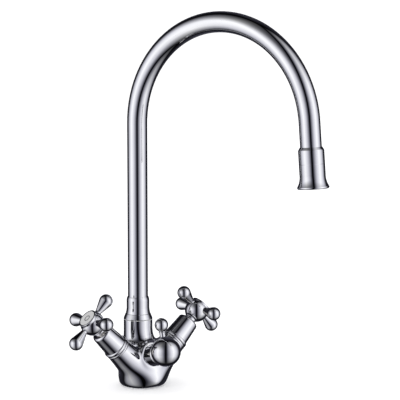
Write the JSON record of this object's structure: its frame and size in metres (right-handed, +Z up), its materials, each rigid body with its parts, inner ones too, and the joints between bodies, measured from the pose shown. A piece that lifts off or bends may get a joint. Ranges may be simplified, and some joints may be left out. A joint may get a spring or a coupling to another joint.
{
  "type": "kitchen faucet",
  "caption": "Deck-mounted kitchen mixer with a tall swivelling swan-neck spout, ball-ended cross handles on a V body, and a small pin-lever valve in front for filtered water.",
  "frame": {"origin": "centre of the round foot's underside, on the deck", "axes": "+Z up, -Y towards the user, +X to the user's right; the spout is at rest swung 20 degrees from straight ahead towards +X"},
  "size_m": [0.1924, 0.245, 0.4066],
  "materials": {
    "chrome": "polished chrome plate on brass",
    "brass": "bare turned brass",
    "ceramic": "lapped alumina",
    "rubber": "matt nitrile rubber",
    "steel": "plain stainless steel",
    "index": "glossy off-white moulding",
    "acetal": "satin acetal",
    "polythene": "semi-matt polythene",
    "outlet_plastic": "satin grey moulding"
  },
  "bodies": {
    "body": {"body_casting": "chrome", "deck_seal": "rubber", "front_bonnet": "chrome", "front_seat_seal": "rubber", "front_fixed_disc": "ceramic", "front_cartridge": "brass", "spout_bush": "acetal", "spout_keeper_screw": "steel", "filter_tube_seal": "rubber", "hot_trim_ring": "chrome", "hot_bonnet": "chrome", "hot_seat_seal": "rubber", "hot_fixed_disc": "ceramic", "hot_cartridge": "brass", "cold_trim_ring": "chrome", "cold_bonnet": "chrome", "cold_seat_seal": "rubber", "cold_fixed_disc": "ceramic", "cold_cartridge": "brass"},
    "spout": {"spout_collar": "chrome", "spout_tube": "chrome", "spout_o_rings": "rubber", "filter_tube": "polythene", "nozzle_socket": "chrome", "nozzle_seal": "rubber", "aerator_bell": "chrome", "aerator_insert": "outlet_plastic", "filter_jet": "brass"},
    "front_handle": {"front_moving_disc": "ceramic", "front_spindle": "brass", "front_spindle_ring": "rubber", "front_knob": "chrome", "front_lever": "chrome", "front_grub_screw": "steel"},
    "hot_handle": {"hot_moving_disc": "ceramic", "hot_spindle": "brass", "hot_spindle_ring": "rubber", "hot_handle_hub": "chrome", "hot_handle_arms": "chrome", "hot_handle_screw": "steel", "hot_index_disc": "index"},
    "cold_handle": {"cold_moving_disc": "ceramic", "cold_spindle": "brass", "cold_spindle_ring": "rubber", "cold_handle_hub": "chrome", "cold_handle_arms": "chrome", "cold_handle_screw": "steel", "cold_index_disc": "index"}
  },
  "joints": [
    {"name": "spout_swivel", "type": "hinge", "parent": "body", "child": "spout", "pos_m": [0, 0.006, 0.0717], "axis": [0, 0, 1], "continuous": true},
    {"name": "hot_turn", "type": "hinge", "parent": "body", "child": "hot_handle", "pos_m": [-0.06918, -0.0094, 0.07799], "axis": [-0.7133, 0, 0.7009], "range_deg": [0, 90]},
    {"name": "cold_turn", "type": "hinge", "parent": "body", "child": "cold_handle", "pos_m": [0.06918, -0.0094, 0.07799], "axis": [0.7133, 0, 0.7009], "range_deg": [0, 90]},
    {"name": "filtered_turn", "type": "hinge", "parent": "body", "child": "front_handle", "pos_m": [0, -0.025, 0.0363], "axis": [0, -0.9455, 0.3256], "range_deg": [0, 90]}
  ]
}
